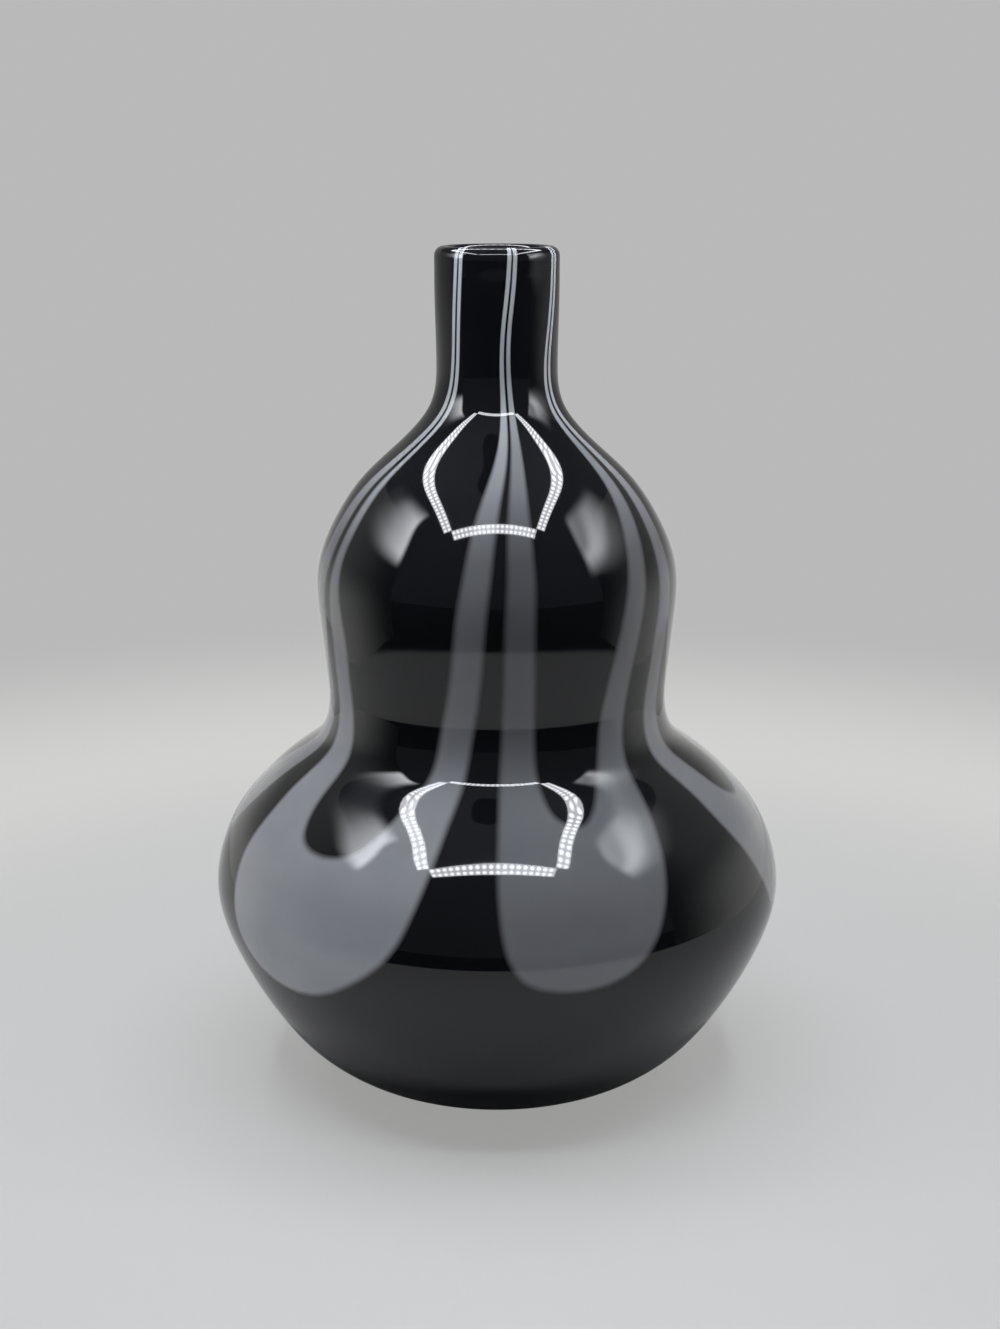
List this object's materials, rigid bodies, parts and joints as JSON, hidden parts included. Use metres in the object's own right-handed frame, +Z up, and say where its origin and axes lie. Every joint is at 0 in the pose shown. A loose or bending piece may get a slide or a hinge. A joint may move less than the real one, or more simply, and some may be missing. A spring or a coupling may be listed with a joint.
{
  "type": "double gourd vase",
  "caption": "Hollow blown-glass double gourd vase: thin neck, crown bulb, waist and wide belly in black glass with white pulled petals inlaid flush.",
  "frame": {"origin": "on the vase's axis, in the plane that the ground foot ring stands on", "axes": "+Z up along the axis through the neck; -Y faces the pictured side, +X to its right"},
  "size_m": [0.157, 0.157, 0.23],
  "materials": {
    "black_glass": "fire-polished gloss",
    "white_glass": "fire-polished gloss"
  },
  "bodies": {
    "root": {"black_glass_vessel": "black_glass", "white_petal_1": "white_glass", "white_petal_2": "white_glass", "white_petal_3": "white_glass", "white_petal_4": "white_glass", "white_petal_5": "white_glass", "white_petal_6": "white_glass"}
  },
  "joints": []
}
